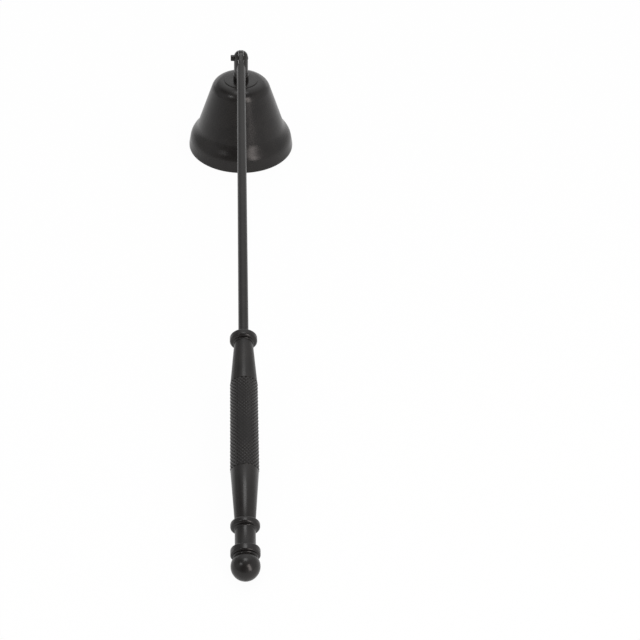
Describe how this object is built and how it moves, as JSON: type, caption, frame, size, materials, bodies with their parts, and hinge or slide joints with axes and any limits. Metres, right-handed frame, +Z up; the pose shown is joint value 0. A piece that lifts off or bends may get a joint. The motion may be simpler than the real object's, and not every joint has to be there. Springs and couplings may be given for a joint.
{
  "type": "candle snuffer",
  "caption": "Long-handled candle snuffer: a small bell hinged on a thin rod with a turned, knurled handle ending in a ball.",
  "frame": {"origin": "on the floor that the bell's rim and the ball end stand on, under the middle of the object's length and width", "axes": "+Z up along the bell's axis, +Y along the object from the ball end of the handle to the bell, +X along the hinge pin towards its peened end"},
  "size_m": [0.041, 0.24, 0.0418],
  "materials": {
    "bell_black": "satin black coating",
    "rod_black": "satin black coating",
    "handle_black": "satin black coating",
    "knurled_black": "satin black coating over a diamond knurl",
    "hardware_black": "black coated steel",
    "stud_steel": "plain steel, hidden"
  },
  "bodies": {
    "handle": {"rod": "rod_black", "collar": "handle_black", "grip": "knurled_black", "end_spool": "handle_black", "end_stud": "stud_steel", "ball_end": "handle_black"},
    "bell_head": {"bell": "bell_black", "post": "bell_black", "hinge_pin": "hardware_black", "crown_washer": "hardware_black", "crown_screw": "hardware_black"}
  },
  "joints": [
    {"name": "bell_swing", "type": "hinge", "parent": "handle", "child": "bell_head", "pos_m": [0, 0.09955, 0.03885], "axis": [1, 0, 0], "range_deg": [-30, 228]}
  ]
}
